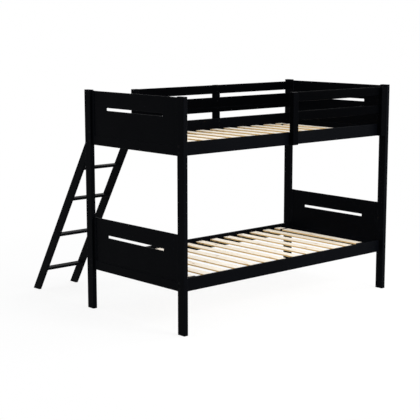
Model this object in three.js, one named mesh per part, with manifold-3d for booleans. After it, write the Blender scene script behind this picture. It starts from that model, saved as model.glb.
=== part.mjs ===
// Bunk bed with a leaning ladder: two single beds, one pinned on top of the other.
//
// Millimetres, +Z up. The bed is laid out from its front left corner: X runs along the bed, Y runs
// across it from the open front to the ladder side, and Z is the height above the floor. The whole
// bed is then moved so that the origin is on the floor, under the middle of its outer box.

import * as THREE from 'three';
import { mergeVertices } from 'three/addons/utils/BufferGeometryUtils.js';
import Module from 'manifold-3d';

const wasm = await Module();
wasm.setup();

// ---------------------------------------------------------------------------------------------
// Driving dimensions
// ---------------------------------------------------------------------------------------------

// Outer size of the two stacked beds, without the ladder.
const BED_LENGTH = 2034;
const BED_WIDTH = 1050;
const BED_HEIGHT = 1551;

// A seam that is glued or bolted shut, and a seam that comes apart.
const JOINT_GAP = 0.2;
const LIFT_GAP = 0.3;

// Corner posts, wide across the bed and thin along it.
const POST_THICKNESS = 34;
const POST_DEPTH = 66;
const LOWER_POST_HEIGHT = 780;
const POST_ROUND = 4;
const POST_END_EASE = 2;

// Steel pins that line the upper bed up on the lower one.
const PIN_DIAMETER = 12;
const PIN_RISE = 38;
const PIN_ROOT = 6;
const PIN_NOSE = 2;
const PIN_FIT = 0.4;
const PIN_BORE_SPARE = 4;

// Framed end panels: stiles, a bottom rail and a thin field that runs to the open top edge.
const PANEL_HEIGHT = 374;
const LOWER_PANEL_BOTTOM = 286;
const PANEL_CROWN = 6;
const PANEL_INSET = 12;
const PANEL_FRAME = 20;
const PANEL_FIELD = 10;
const PANEL_STILE = 27;
const PANEL_BOTTOM_RAIL = 63;
const PANEL_EASE = 1.5;
const FIELD_TONGUE = 6;
const SLOT_LENGTH = 624;
const SLOT_HEIGHT = 20;
const SLOT_DROP = 110;
const SLOT_EASE = 1.5;

// Side rails, set in from the outer faces of the posts, with a cleat for the slats. The upper ones
// hang at a fixed drop below the top of the bed; the lower rear one sits a little over the front one.
const RAIL_INSET = 40;
const RAIL_THICKNESS = 20;
const RAIL_ROUND = 4;
const FRONT_RAIL_HEIGHT = 88;
const LOWER_REAR_RAIL_HEIGHT = 94;
const UPPER_REAR_RAIL_HEIGHT = 113;
const LOWER_RAIL_BOTTOM = 283;
const LOWER_REAR_RAIL_LIFT = 4;
const UPPER_RAIL_DROP = 379;
const CLEAT_WIDTH = 22;
const CLEAT_HEIGHT = 14;
const CLEAT_ROOT = 6;

// Pine slats, set by the height of their tops over the bottom edge of the side rails. The last one is
// set closer to its neighbour than the others.
const SLAT_COUNT = 13;
const SLAT_WIDTH = 70;
const SLAT_THICKNESS = 10;
const SLAT_PITCH = 143;
const LAST_SLAT_PITCH = 134;
const FIRST_SLAT = 88;
const SLAT_END_GAP = 3;
const LOWER_SLAT_RISE = 74;
const UPPER_SLAT_RISE = 35;

// Guards of the upper bed: flat posts outside the side rail, with rails housed in their inner faces.
// Every height hangs from the top of the bed.
const GUARD_POST_WIDTH = 52;
const GUARD_POST_DEPTH = 38;
const GUARD_TOP_DROP = 15;
const GUARD_RAIL_THICKNESS = 20;
const GUARD_RAIL_ROUND = 7;
const GUARD_RAIL_LAP = 26;
const TOP_RAIL_HEIGHT = 66;
const FRONT_MID_RAIL_DROP = 213;
const FRONT_MID_RAIL_HEIGHT = 65;
const REAR_MID_RAIL_DROP = 221;
const REAR_MID_RAIL_HEIGHT = 112;
const BEAD_HEIGHT = 36;
const BEAD_DEPTH = 3;
const BEAD_WIDTH = 6;
const FRONT_GUARD_START = 1002;
const REAR_MID_POST_START = 1197;

// Ladder that leans against the outside of the rear side rail.
const LADDER_LEAN = THREE.MathUtils.degToRad(30.9);
const LADDER_WIDTH = 361;
const LADDER_TO_POST = 14;
const LADDER_TO_GUARD = 2;
const LADDER_RAIL_THICKNESS = 20;
const LADDER_RAIL_DEPTH = 67;
const LADDER_RAIL_EASE = 2.5;
const LADDER_SEAT_HEIGHT = 68;
const TREAD_BOTTOMS = [162, 445, 733, 971];
const TREAD_THICKNESS = 18;
const TREAD_DEPTH = 70;
const TREAD_HOUSING = 6;
const TREAD_ROUND = 4;

// Hook straps, bent from flat steel bar.
const HOOK_THICKNESS = 4;
const HOOK_WIDTH = 14;
const HOOK_DROP = 35;
const HOOK_LAP = 48;
const HOOK_BEND = 3;

// Edges that are only broken, and the fineness of round corners: each arc gets two flats per step.
const SMALL_ROUND = 2;
const SMALL_EASE = 1;
const CORNER_STEPS = 1;
const WIDE_CORNER_STEPS = 2;
const SLOT_STEPS = 6;
const PIN_SIDES = 16;

// ---------------------------------------------------------------------------------------------
// Places that follow from the driving dimensions
// ---------------------------------------------------------------------------------------------

const UPPER_PANEL_BOTTOM = BED_HEIGHT - PANEL_CROWN - PANEL_HEIGHT;
const UPPER_RAIL_BOTTOM = BED_HEIGHT - UPPER_RAIL_DROP;
const LOWER_SLAT_TOP = LOWER_RAIL_BOTTOM + LOWER_SLAT_RISE;
const UPPER_SLAT_TOP = UPPER_RAIL_BOTTOM + UPPER_SLAT_RISE;
const LADDER_HEAD = UPPER_RAIL_BOTTOM + UPPER_REAR_RAIL_HEIGHT;
const RAIL_INNER = RAIL_INSET + RAIL_THICKNESS;
const REAR_RAIL_OUTER = BED_WIDTH - RAIL_INSET;
const BAY_START = POST_THICKNESS;
const BAY_END = BED_LENGTH - POST_THICKNESS;
const GUARD_TOP = BED_HEIGHT - GUARD_TOP_DROP;
const TOP_RAIL_BOTTOM = GUARD_TOP - TOP_RAIL_HEIGHT;
const FRONT_MID_RAIL_BOTTOM = BED_HEIGHT - FRONT_MID_RAIL_DROP;
const REAR_MID_RAIL_BOTTOM = BED_HEIGHT - REAR_MID_RAIL_DROP;
const LADDER_START = BAY_START + LADDER_TO_POST;
const LADDER_END = LADDER_START + LADDER_WIDTH;
const LADDER_SLOPE = Math.tan(LADDER_LEAN);
const LADDER_LEVEL_DEPTH = LADDER_RAIL_DEPTH / Math.cos(LADDER_LEAN);
const LADDER_PLUMB_FACE = REAR_RAIL_OUTER + LIFT_GAP;
const LADDER_SEAT_BOTTOM = LADDER_HEAD - LADDER_SEAT_HEIGHT;
const LADDER_FOOT = LADDER_PLUMB_FACE + LADDER_SLOPE * LADDER_SEAT_BOTTOM;
const OUTER_DEPTH = LADDER_FOOT + LADDER_LEVEL_DEPTH;

// ---------------------------------------------------------------------------------------------
// Finishes
// ---------------------------------------------------------------------------------------------

const blackPaint = () => new THREE.MeshStandardMaterial({ color: 0x14141a, roughness: 0.45, metalness: 0 });
const barePine = () => new THREE.MeshStandardMaterial({ color: 0xe6cfa2, roughness: 0.7, metalness: 0 });
const blackSteel = () => new THREE.MeshStandardMaterial({ color: 0x1d1e20, roughness: 0.4, metalness: 0.8 });

// ---------------------------------------------------------------------------------------------
// Shaping helpers
// ---------------------------------------------------------------------------------------------

// Turns a shape drawn in XY and extruded along Z so that the extrusion runs along the named axis.
const GRAIN = {
  x: new THREE.Matrix4().set(0, 0, 1, 0, 1, 0, 0, 0, 0, 1, 0, 0, 0, 0, 0, 1),
  y: new THREE.Matrix4().set(0, 1, 0, 0, 0, 0, 1, 0, 1, 0, 0, 0, 0, 0, 0, 1),
  z: new THREE.Matrix4(),
};

function roundedRectangle(width, height, radius) {
  const outline = new THREE.Shape();
  outline.absarc(width - radius, radius, radius, -Math.PI / 2, 0);
  outline.absarc(width - radius, height - radius, radius, 0, Math.PI / 2);
  outline.absarc(radius, height - radius, radius, Math.PI / 2, Math.PI);
  outline.absarc(radius, radius, radius, Math.PI, Math.PI * 1.5);
  outline.closePath();
  return outline;
}

// An extrusion of exactly this length whose two ends, and any hole, have their edges broken.
function easedExtrusion(outline, length, ease, curveSegments) {
  const geometry = new THREE.ExtrudeGeometry(outline, {
    depth: length - 2 * ease,
    bevelEnabled: true,
    bevelThickness: ease,
    bevelSize: ease,
    bevelOffset: -ease,
    bevelSegments: 1,
    curveSegments,
  });
  return geometry.translate(0, 0, ease);
}

// A planed board with rounded long edges. Its lowest corner is at its own origin.
function board({ size, grain, round = SMALL_ROUND, ease = SMALL_EASE, steps = CORNER_STEPS }) {
  const [x, y, z] = size;
  const section = { x: [y, z, x], y: [z, x, y], z: [x, y, z] }[grain];
  const outline = roundedRectangle(section[0], section[1], round);
  return easedExtrusion(outline, section[2], ease, steps).applyMatrix4(GRAIN[grain]);
}

// A plain block, used to cut clearances.
function block(size) {
  return new THREE.BoxGeometry(...size).translate(size[0] / 2, size[1] / 2, size[2] / 2);
}

function toSolid(geometry) {
  const bare = new THREE.BufferGeometry();
  bare.setAttribute('position', geometry.getAttribute('position'));
  bare.setIndex(geometry.getIndex());
  const merged = mergeVertices(bare);
  return new wasm.Manifold(new wasm.Mesh({
    numProp: 3,
    vertProperties: new Float32Array(merged.getAttribute('position').array),
    triVerts: new Uint32Array(merged.getIndex().array),
  }));
}

function toGeometry(solid) {
  const mesh = solid.getMesh();
  const geometry = new THREE.BufferGeometry();
  geometry.setAttribute('position', new THREE.BufferAttribute(new Float32Array(mesh.vertProperties), 3));
  geometry.setIndex(new THREE.BufferAttribute(new Uint32Array(mesh.triVerts), 1));
  geometry.computeVertexNormals();
  return geometry;
}

const join = (first, second) => toGeometry(toSolid(first).add(toSolid(second)));
const cut = (first, second) => toGeometry(toSolid(first).subtract(toSolid(second)));

function place(group, name, geometry, material, position) {
  const mesh = new THREE.Mesh(geometry, material());
  mesh.name = name;
  mesh.position.set(...position);
  group.add(mesh);
}

// The two long sides: where a piece of a given depth starts, measured in from that side's outer face.
const SIDES = {
  front: (inset) => inset,
  rear: (inset, depth) => BED_WIDTH - inset - depth,
};

// The two ends: where a piece of a given thickness starts, measured in from that end's outer face.
const ENDS = {
  left: (inset) => inset,
  right: (inset, thickness) => BED_LENGTH - inset - thickness,
};

// ---------------------------------------------------------------------------------------------
// Posts and the pins between them
// ---------------------------------------------------------------------------------------------

function post(height) {
  return board({
    size: [POST_THICKNESS, POST_DEPTH, height],
    grain: 'z',
    round: POST_ROUND,
    ease: POST_END_EASE,
    steps: WIDE_CORNER_STEPS,
  });
}

// A round bar standing on the middle of a post, as a turned profile with a chamfered nose.
function pinBar(radius, bottom, top, nose) {
  const profile = [
    new THREE.Vector2(0, bottom),
    new THREE.Vector2(radius, bottom),
    new THREE.Vector2(radius, top - nose),
    new THREE.Vector2(radius - nose, top),
    new THREE.Vector2(0, top),
  ];
  const bar = new THREE.LatheGeometry(profile, PIN_SIDES).rotateX(Math.PI / 2);
  return bar.translate(POST_THICKNESS / 2, POST_DEPTH / 2, 0);
}

function lowerPost() {
  const pin = pinBar(PIN_DIAMETER / 2, LOWER_POST_HEIGHT - PIN_ROOT, LOWER_POST_HEIGHT + PIN_RISE, PIN_NOSE);
  return join(post(LOWER_POST_HEIGHT), pin);
}

function upperPost(height) {
  const bore = pinBar(PIN_DIAMETER / 2 + PIN_FIT, -PIN_ROOT, PIN_RISE + PIN_BORE_SPARE, PIN_NOSE);
  return cut(post(height), bore);
}

function addPosts(group, level, geometry, bottom) {
  for (const [side, sideStart] of Object.entries(SIDES)) {
    for (const [end, endStart] of Object.entries(ENDS)) {
      const corner = [endStart(0, POST_THICKNESS), sideStart(0, POST_DEPTH), bottom];
      place(group, `${level}_post_${side}_${end}`, geometry, blackPaint, corner);
    }
  }
}

// ---------------------------------------------------------------------------------------------
// Framed end panels
// ---------------------------------------------------------------------------------------------

// Stiles and bottom rail in one piece, as a U that is open at the top.
function panelFrame(width) {
  const outline = new THREE.Shape();
  outline.moveTo(0, 0);
  outline.lineTo(width, 0);
  outline.lineTo(width, PANEL_HEIGHT);
  outline.lineTo(width - PANEL_STILE, PANEL_HEIGHT);
  outline.lineTo(width - PANEL_STILE, PANEL_BOTTOM_RAIL);
  outline.lineTo(PANEL_STILE, PANEL_BOTTOM_RAIL);
  outline.lineTo(PANEL_STILE, PANEL_HEIGHT);
  outline.lineTo(0, PANEL_HEIGHT);
  outline.closePath();
  return easedExtrusion(outline, PANEL_FRAME, PANEL_EASE, 1).applyMatrix4(GRAIN.x);
}

// The field, with a slot that has half-round ends. Its tongue is glued into the frame.
function panelField(width) {
  const left = PANEL_STILE - FIELD_TONGUE;
  const bottom = PANEL_BOTTOM_RAIL - FIELD_TONGUE;
  const outline = new THREE.Shape();
  outline.moveTo(left, bottom);
  outline.lineTo(width - left, bottom);
  outline.lineTo(width - left, PANEL_HEIGHT);
  outline.lineTo(left, PANEL_HEIGHT);
  outline.closePath();

  const radius = SLOT_HEIGHT / 2;
  const reach = SLOT_LENGTH / 2 - radius;
  const level = PANEL_HEIGHT - SLOT_DROP - radius;
  const slot = new THREE.Path();
  slot.absarc(width / 2 - reach, level, radius, Math.PI / 2, Math.PI * 1.5);
  slot.absarc(width / 2 + reach, level, radius, -Math.PI / 2, Math.PI / 2);
  slot.closePath();
  outline.holes.push(slot);

  const field = easedExtrusion(outline, PANEL_FIELD, SLOT_EASE, SLOT_STEPS).applyMatrix4(GRAIN.x);
  return field.translate((PANEL_FRAME - PANEL_FIELD) / 2, 0, 0);
}

function addEndPanels(group, level, bottom) {
  const width = BED_WIDTH - 2 * (POST_DEPTH + JOINT_GAP);
  const panel = join(panelFrame(width), panelField(width));
  for (const [end, endStart] of Object.entries(ENDS)) {
    const corner = [endStart(PANEL_INSET, PANEL_FRAME), POST_DEPTH + JOINT_GAP, bottom];
    place(group, `${level}_end_panel_${end}`, panel, blackPaint, corner);
  }
}

// ---------------------------------------------------------------------------------------------
// Side rails with their cleats, and the slats that lie on them
// ---------------------------------------------------------------------------------------------

function addSideRails(group, level, slatTop, rails) {
  const length = BAY_END - BAY_START - 2 * JOINT_GAP;
  const cleatBottom = slatTop - SLAT_THICKNESS - JOINT_GAP - CLEAT_HEIGHT;
  const cleatStart = { front: RAIL_THICKNESS - CLEAT_ROOT, rear: -CLEAT_WIDTH };
  for (const [side, sideStart] of Object.entries(SIDES)) {
    const { bottom, height } = rails[side];
    const rail = board({
      size: [length, RAIL_THICKNESS, height],
      grain: 'x',
      round: RAIL_ROUND,
      steps: WIDE_CORNER_STEPS,
    });
    const cleat = board({ size: [length, CLEAT_WIDTH + CLEAT_ROOT, CLEAT_HEIGHT], grain: 'x' });
    const corner = [BAY_START + JOINT_GAP, sideStart(RAIL_INSET, RAIL_THICKNESS), bottom];
    const whole = join(rail, cleat.translate(0, cleatStart[side], cleatBottom - bottom));
    place(group, `${level}_side_rail_${side}`, whole, blackPaint, corner);
  }
}

function addSlats(group, level, top) {
  const inset = RAIL_INNER + SLAT_END_GAP;
  const slat = board({ size: [SLAT_WIDTH, BED_WIDTH - 2 * inset, SLAT_THICKNESS], grain: 'y' });
  for (let i = 0; i < SLAT_COUNT; i += 1) {
    const isLast = i === SLAT_COUNT - 1;
    const along = isLast ? (i - 1) * SLAT_PITCH + LAST_SLAT_PITCH : i * SLAT_PITCH;
    const corner = [BAY_START + FIRST_SLAT + along, inset, top - SLAT_THICKNESS];
    place(group, `${level}_slat_${String(i + 1).padStart(2, '0')}`, slat, barePine, corner);
  }
}

// ---------------------------------------------------------------------------------------------
// Guards
// ---------------------------------------------------------------------------------------------

// A wide board has a bead along its lower edge, set off by a groove in its inner face.
function beadedBoard(size) {
  const plain = board({ size, grain: 'x', round: GUARD_RAIL_ROUND, steps: WIDE_CORNER_STEPS });
  const groove = new THREE.Shape();
  groove.moveTo(-BEAD_DEPTH, BEAD_HEIGHT - BEAD_WIDTH);
  groove.lineTo(BEAD_DEPTH, BEAD_HEIGHT);
  groove.lineTo(-BEAD_DEPTH, BEAD_HEIGHT + BEAD_WIDTH);
  groove.closePath();
  const run = size[0] + 2 * BEAD_WIDTH;
  const cutter = new THREE.ExtrudeGeometry(groove, { depth: run, bevelEnabled: false });
  return cut(plain, cutter.applyMatrix4(GRAIN.x).translate(-BEAD_WIDTH, 0, 0));
}

// One guard: its posts stand outside the side rail, and its rails lie in notches in their inner faces.
// At the far end the rails of the rear guard carry on to the corner post.
function addGuard(group, side, posts, railEnd, rails) {
  const postInset = RAIL_INSET - JOINT_GAP - GUARD_POST_DEPTH;
  const postY = SIDES[side](postInset, GUARD_POST_DEPTH);
  const railY = SIDES[side](RAIL_INSET - JOINT_GAP - GUARD_RAIL_THICKNESS, GUARD_RAIL_THICKNESS);
  const railStart = Object.values(posts)[0] + GUARD_POST_WIDTH - GUARD_RAIL_LAP;

  for (const { name, bottom, height, make } of rails) {
    const size = [railEnd - railStart, GUARD_RAIL_THICKNESS, height];
    place(group, `${side}_guard_${name}`, make(size), blackPaint, [railStart, railY, bottom]);
  }

  for (const [name, start] of Object.entries(posts)) {
    let upright = board({
      size: [GUARD_POST_WIDTH, GUARD_POST_DEPTH, GUARD_TOP - UPPER_RAIL_BOTTOM],
      grain: 'z',
      round: POST_ROUND,
      ease: POST_END_EASE,
      steps: WIDE_CORNER_STEPS,
    });
    for (const { bottom, height } of rails) {
      const notchSize = [
        railEnd - railStart + 2 * JOINT_GAP,
        GUARD_RAIL_THICKNESS + 2 * JOINT_GAP,
        height + 2 * JOINT_GAP,
      ];
      const notch = block(notchSize).translate(
        railStart - start - JOINT_GAP,
        railY - postY - JOINT_GAP,
        bottom - UPPER_RAIL_BOTTOM - JOINT_GAP,
      );
      upright = cut(upright, notch);
    }
    place(group, `${side}_guard_post_${name}`, upright, blackPaint, [start, postY, UPPER_RAIL_BOTTOM]);
  }
}

function addGuards(group) {
  const plainRail = (size) => board({
    size,
    grain: 'x',
    round: GUARD_RAIL_ROUND,
    steps: WIDE_CORNER_STEPS,
  });
  const topRail = { name: 'top_rail', bottom: TOP_RAIL_BOTTOM, height: TOP_RAIL_HEIGHT, make: plainRail };
  const frontPosts = { left: FRONT_GUARD_START, right: BAY_END - JOINT_GAP - GUARD_POST_WIDTH };
  addGuard(group, 'front', frontPosts, frontPosts.right + GUARD_RAIL_LAP, [
    topRail,
    { name: 'mid_rail', bottom: FRONT_MID_RAIL_BOTTOM, height: FRONT_MID_RAIL_HEIGHT, make: plainRail },
  ]);
  const rearPosts = { left: LADDER_END + LADDER_TO_GUARD, middle: REAR_MID_POST_START };
  addGuard(group, 'rear', rearPosts, BAY_END - JOINT_GAP, [
    topRail,
    { name: 'mid_rail', bottom: REAR_MID_RAIL_BOTTOM, height: REAR_MID_RAIL_HEIGHT, make: beadedBoard },
  ]);
}

// ---------------------------------------------------------------------------------------------
// Ladder
// ---------------------------------------------------------------------------------------------

// Where the bed-side face of a ladder rail is at a given height.
const ladderFace = (height) => LADDER_FOOT - LADDER_SLOPE * height;

// A leaning rail: its foot is cut level, its head is cut plumb to seat on the side rail.
function ladderRail() {
  const outline = new THREE.Shape();
  outline.moveTo(ladderFace(0), 0);
  outline.lineTo(ladderFace(0) + LADDER_LEVEL_DEPTH, 0);
  outline.lineTo(ladderFace(LADDER_HEAD) + LADDER_LEVEL_DEPTH, LADDER_HEAD);
  outline.lineTo(LADDER_PLUMB_FACE, LADDER_HEAD);
  outline.lineTo(LADDER_PLUMB_FACE, LADDER_SEAT_BOTTOM);
  outline.closePath();
  return easedExtrusion(outline, LADDER_RAIL_THICKNESS, LADDER_RAIL_EASE, 1).applyMatrix4(GRAIN.x);
}

// Where a tread starts across the bed, so that it is centred between the faces of the ladder rails.
function treadStart(bottom) {
  return ladderFace(bottom + TREAD_THICKNESS / 2) + (LADDER_LEVEL_DEPTH - TREAD_DEPTH) / 2;
}

function addLadder(group) {
  const inner = LADDER_WIDTH - 2 * LADDER_RAIL_THICKNESS;
  const treadLength = inner + 2 * (TREAD_HOUSING - JOINT_GAP);
  const treadX = LADDER_START + LADDER_RAIL_THICKNESS - TREAD_HOUSING + JOINT_GAP;
  const trenchSize = [
    inner + 2 * TREAD_HOUSING,
    TREAD_DEPTH + 2 * JOINT_GAP,
    TREAD_THICKNESS + 2 * JOINT_GAP,
  ];

  const rails = { left: LADDER_START, right: LADDER_END - LADDER_RAIL_THICKNESS };
  for (const [hand, railX] of Object.entries(rails)) {
    let rail = ladderRail();
    for (const bottom of TREAD_BOTTOMS) {
      const trench = block(trenchSize).translate(
        treadX - JOINT_GAP - railX,
        treadStart(bottom) - JOINT_GAP,
        bottom - JOINT_GAP,
      );
      rail = cut(rail, trench);
    }
    place(group, `ladder_rail_${hand}`, rail, blackPaint, [railX, 0, 0]);
    const hookX = railX + (LADDER_RAIL_THICKNESS - HOOK_WIDTH) / 2;
    place(group, `ladder_hook_${hand}`, hookStrap(), blackSteel, [hookX, 0, LADDER_HEAD + LIFT_GAP]);
  }

  TREAD_BOTTOMS.forEach((bottom, i) => {
    const tread = board({
      size: [treadLength, TREAD_DEPTH, TREAD_THICKNESS],
      grain: 'x',
      round: TREAD_ROUND,
      steps: WIDE_CORNER_STEPS,
    });
    place(group, `ladder_tread_${i + 1}`, tread, blackPaint, [treadX, treadStart(bottom), bottom]);
  });
}

// A strap that lies on the ladder's head, crosses the side rail's top edge and turns down behind it.
function hookStrap() {
  const behind = REAR_RAIL_OUTER - RAIL_THICKNESS - LIFT_GAP;
  const tail = LADDER_PLUMB_FACE + HOOK_LAP;
  const bend = HOOK_BEND + HOOK_THICKNESS;
  const outline = new THREE.Shape();
  outline.moveTo(tail, 0);
  outline.lineTo(tail, HOOK_THICKNESS);
  outline.absarc(behind - HOOK_THICKNESS + bend, HOOK_THICKNESS - bend, bend, Math.PI / 2, Math.PI);
  outline.lineTo(behind - HOOK_THICKNESS, -HOOK_DROP);
  outline.lineTo(behind, -HOOK_DROP);
  outline.absarc(behind + HOOK_BEND, -HOOK_BEND, HOOK_BEND, Math.PI, Math.PI / 2, true);
  outline.closePath();
  return easedExtrusion(outline, HOOK_WIDTH, SMALL_EASE, WIDE_CORNER_STEPS).applyMatrix4(GRAIN.x);
}

// ---------------------------------------------------------------------------------------------
// Assembly
// ---------------------------------------------------------------------------------------------

const lowerBed = new THREE.Group();
addPosts(lowerBed, 'lower', lowerPost(), 0);
addEndPanels(lowerBed, 'lower', LOWER_PANEL_BOTTOM);
addSideRails(lowerBed, 'lower', LOWER_SLAT_TOP, {
  front: { bottom: LOWER_RAIL_BOTTOM, height: FRONT_RAIL_HEIGHT },
  rear: { bottom: LOWER_RAIL_BOTTOM + LOWER_REAR_RAIL_LIFT, height: LOWER_REAR_RAIL_HEIGHT },
});
addSlats(lowerBed, 'lower', LOWER_SLAT_TOP);

const upperBed = new THREE.Group();
const upperPostBottom = LOWER_POST_HEIGHT + LIFT_GAP;
addPosts(upperBed, 'upper', upperPost(BED_HEIGHT - upperPostBottom), upperPostBottom);
addEndPanels(upperBed, 'upper', UPPER_PANEL_BOTTOM);
addSideRails(upperBed, 'upper', UPPER_SLAT_TOP, {
  front: { bottom: UPPER_RAIL_BOTTOM, height: FRONT_RAIL_HEIGHT },
  rear: { bottom: UPPER_RAIL_BOTTOM, height: UPPER_REAR_RAIL_HEIGHT },
});
addSlats(upperBed, 'upper', UPPER_SLAT_TOP);
addGuards(upperBed);

const ladder = new THREE.Group();
addLadder(ladder);

const bunkBed = new THREE.Group();
bunkBed.add(lowerBed, upperBed, ladder);
bunkBed.position.set(-BED_LENGTH / 2, -OUTER_DEPTH / 2, 0);

export default bunkBed;
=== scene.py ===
# %% [markdown]
# # A bunk bed with a leaning ladder
# Two single beds stand one on the other, held in line by steel pins. The upper bed has guards on
# both long sides, and a ladder leans on its rear side rail. The posts, rails and panels are wood
# under satin black paint, and the slats are bare pine.
#
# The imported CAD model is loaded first. It fixes every size and place: each piece below takes its
# place from the box of the node that it dresses, so nothing is fitted by eye.

# %% Load the fixed frame
import math

import bmesh
import bpy
from mathutils import Matrix, Vector


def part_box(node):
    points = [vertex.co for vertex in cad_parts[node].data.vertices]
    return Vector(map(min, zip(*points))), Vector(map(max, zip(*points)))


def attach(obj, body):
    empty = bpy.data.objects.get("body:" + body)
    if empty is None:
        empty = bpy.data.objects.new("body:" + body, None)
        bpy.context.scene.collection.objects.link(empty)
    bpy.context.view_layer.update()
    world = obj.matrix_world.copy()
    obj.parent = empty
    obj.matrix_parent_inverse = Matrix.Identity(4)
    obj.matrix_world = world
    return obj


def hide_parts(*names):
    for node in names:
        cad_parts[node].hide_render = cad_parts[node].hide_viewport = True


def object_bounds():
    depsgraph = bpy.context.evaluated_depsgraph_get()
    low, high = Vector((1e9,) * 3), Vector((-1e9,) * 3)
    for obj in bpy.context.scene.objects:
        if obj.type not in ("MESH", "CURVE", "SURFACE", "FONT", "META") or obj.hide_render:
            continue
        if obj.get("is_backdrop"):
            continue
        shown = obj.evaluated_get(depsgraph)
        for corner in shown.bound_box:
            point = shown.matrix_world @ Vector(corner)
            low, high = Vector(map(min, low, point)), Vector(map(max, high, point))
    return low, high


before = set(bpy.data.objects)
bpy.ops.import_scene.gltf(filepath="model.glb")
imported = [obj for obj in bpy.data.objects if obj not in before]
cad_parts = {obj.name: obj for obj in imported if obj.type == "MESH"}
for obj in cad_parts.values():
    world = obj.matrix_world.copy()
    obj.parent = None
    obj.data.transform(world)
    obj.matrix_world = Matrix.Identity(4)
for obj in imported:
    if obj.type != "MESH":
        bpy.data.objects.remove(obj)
cad_low, cad_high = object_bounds()
print("CAD box, metres:", [round(high - low, 4) for low, high in zip(cad_low, cad_high)])

# %% [markdown]
# ## Camera
# A long lens stands in front of the bed's left corner, above the top rail, and looks down a little,
# as in a product picture. A long lens keeps the posts close to upright without any lens shift.

# %% Camera
SENSOR_WIDTH, LENS_LENGTH = 36.0, 98.4162857
CAMERA_PLACE = (-5.74559, -6.35170, 2.04135)
LOOKS_DOWN, TURNED_RIGHT = 9.5088, 42.3004
lens_data = bpy.data.cameras.new("long_lens")
lens_data.sensor_width = SENSOR_WIDTH
lens_data.lens = LENS_LENGTH
camera = bpy.data.objects.new("camera", lens_data)
camera.location = CAMERA_PLACE
camera.rotation_euler = (math.radians(90 - LOOKS_DOWN), 0.0, math.radians(-TURNED_RIGHT))
bpy.context.scene.collection.objects.link(camera)
bpy.context.scene.camera = camera
print("lens:", round(lens_data.lens, 1), "mm")

# %% [markdown]
# ## A short way to write shader nodes
# A finish is a small graph. Each call adds one node, sets its menus from `settings`, and either
# links an input or gives it a fixed value.

# %% Node helpers
def set_inputs(tree, node, inputs):
    for key, value in inputs.items():
        if isinstance(value, bpy.types.NodeSocket):
            tree.links.new(value, node.inputs[key])
        else:
            node.inputs[key].default_value = value


def add(tree, kind, inputs=None, **settings):
    node = tree.nodes.new(kind)
    for key, value in settings.items():
        setattr(node, key, value)
    set_inputs(tree, node, inputs or {})
    return node


def new_finish(name):
    """A finish, its graph, its shader and the place on the object that its patterns read."""
    finish = bpy.data.materials.new(name)
    finish.use_nodes = True
    tree = finish.node_tree
    return finish, tree, tree.nodes["Principled BSDF"], add(tree, "ShaderNodeTexCoord").outputs["Object"]


def maths(tree, operation, first, second=0.0):
    return add(tree, "ShaderNodeMath", {0: first, 1: second}, operation=operation).outputs[0]


def remap(tree, value, low, high, to_low, to_high):
    return add(tree, "ShaderNodeMapRange", {
        "Value": value, "From Min": low, "From Max": high, "To Min": to_low, "To Max": to_high,
    }).outputs["Result"]


def blend_colours(tree, factor, first, second):
    return add(tree, "ShaderNodeMix", {0: factor, 6: first, 7: second}, data_type="RGBA").outputs[2]


def stretched(tree, place, scale):
    return add(tree, "ShaderNodeMapping", {"Vector": place, "Scale": scale}).outputs[0]


def noise(tree, place, scale, detail, roughness=0.5, distortion=0.0):
    return add(tree, "ShaderNodeTexNoise", {
        "Vector": place, "Scale": scale, "Detail": detail, "Roughness": roughness,
        "Distortion": distortion,
    }).outputs["Fac"]


def bump(tree, height, strength, distance, **under):
    """Fine relief; Normal=... lays it over a coarser one."""
    return add(tree, "ShaderNodeBump", {
        "Height": height, "Strength": strength, "Distance": distance, **under,
    }).outputs["Normal"]

# %% [markdown]
# ## Satin black paint on wood
# Thin paint on planed timber still shows the grain as fine ridges, and the roller leaves a slight
# orange peel. Both are bump only. The tone drifts slowly along the board, and the edges are lighter
# and greyer: partly worn paint where hands and the mattress rub it, partly a painted highlight where
# the rounded edges catch light. The pattern is stretched along the grain, so there is one finish for
# each way that a board can run. The guards get a darker black with less gloss, which is painted
# shade, so the depth of the black is an input of its own.

# %% Painted wood
# The third colour is for the edges: partly worn paint, partly a painted highlight where rounded edges
# catch light.
DEEP, LIGHT, RUBBED_AND_HIGHLIGHT = (0.0009, 0.0011, 0.0017), (0.0016, 0.0019, 0.0028), (0.0088, 0.0094, 0.0118)
RUB_AND_HIGHLIGHT_WIDTH, PAINT_GLOSS = 0.004, 0.013


def toned(colour, share):
    return (*(share * part for part in colour), 1.0)


# A share below 1 darkens the black and lowers its gloss: painted shade, used for the guards.
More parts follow.
